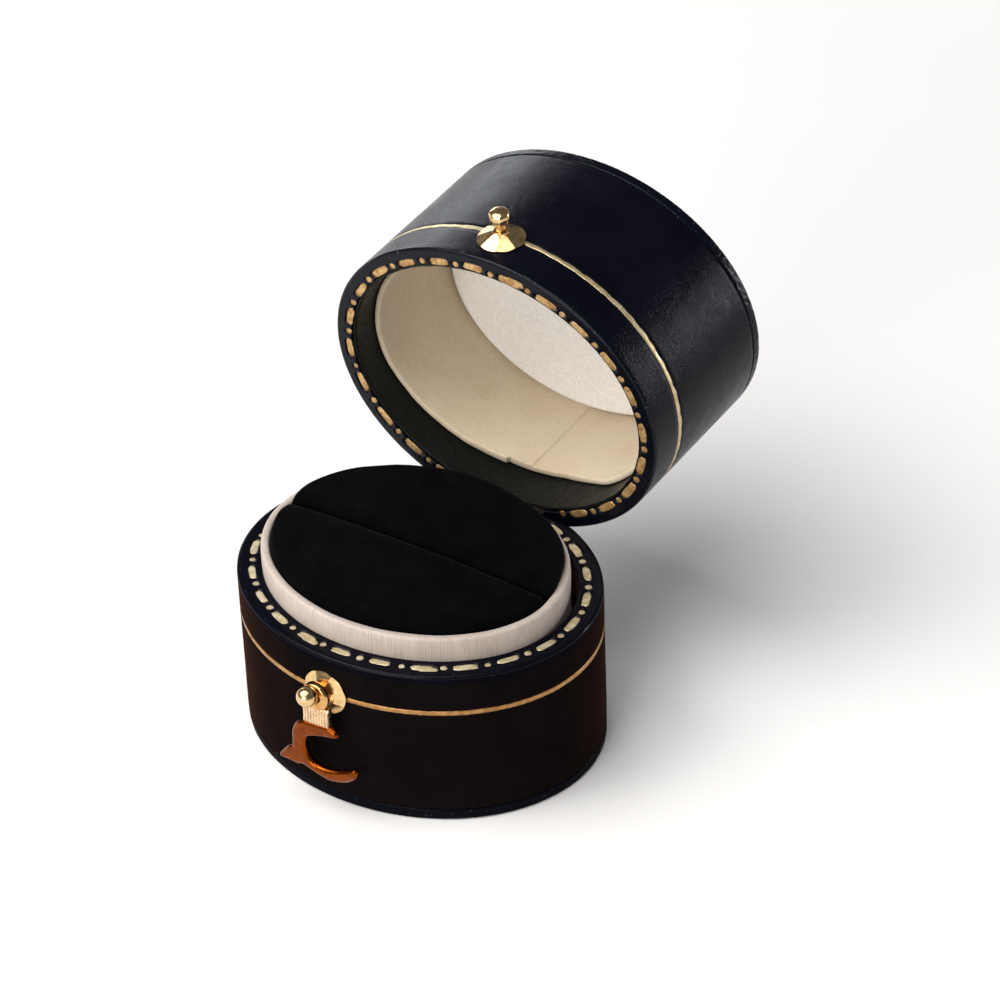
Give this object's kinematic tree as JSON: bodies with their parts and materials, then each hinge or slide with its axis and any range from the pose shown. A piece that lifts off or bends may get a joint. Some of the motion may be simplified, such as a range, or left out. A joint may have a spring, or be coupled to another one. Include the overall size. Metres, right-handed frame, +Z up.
{
  "type": "ring box",
  "caption": "Small oval ring box with a hinged leather-covered lid, satin collar, split velvet pad and a brass hook catch.",
  "frame": {"origin": "centre of the underside of the base", "axes": "+Z up, -Y towards the front where the catch is, +Y towards the hinge, +X to the right seen from the front"},
  "size_m": [0.036, 0.0515, 0.0481],
  "materials": {
    "black_leather": "smooth, slightly glossy",
    "black_velvet": "velvet pile",
    "cream_satin": "satin",
    "ivory_cloth": "fine ribbed cloth",
    "card_board": "raw board",
    "polished_brass": "polished"
  },
  "bodies": {
    "base": {"base_wall": "card_board", "base_wall_leather": "black_leather", "base_bottom_board": "card_board", "base_bottom_leather": "black_leather", "collar_card": "card_board", "collar_satin": "cream_satin", "pad_board": "card_board", "ring_pad_front": "black_velvet", "ring_pad_rear": "black_velvet", "base_rosette": "polished_brass", "base_ball_pin": "polished_brass", "base_pin_washer": "polished_brass", "hinge_leaf_base": "polished_brass", "hinge_pin": "polished_brass"},
    "lid": {"lid_wall": "card_board", "lid_wall_leather": "black_leather", "lid_top_board": "card_board", "lid_top_leather": "black_leather", "lid_inner_band": "black_leather", "lid_liner_card": "card_board", "lid_liner_satin": "cream_satin", "lid_ceiling_card": "card_board", "lid_ceiling_pad": "ivory_cloth", "lid_rosette": "polished_brass", "lid_knob_stud": "polished_brass", "lid_stud_washer": "polished_brass", "hinge_leaf_lid": "polished_brass"},
    "hook": {"catch_hook": "polished_brass"}
  },
  "joints": [
    {"name": "lid_hinge", "type": "hinge", "parent": "base", "child": "lid", "pos_m": [0, 0.01335, 0.0162], "axis": [1, 0, 0], "range_deg": [0, 85.6]},
    {"name": "hook_swivel", "type": "hinge", "parent": "base", "child": "hook", "pos_m": [0, -0.01656, 0.01315], "axis": [0, -1, 0], "range_deg": [-145, 180]}
  ]
}
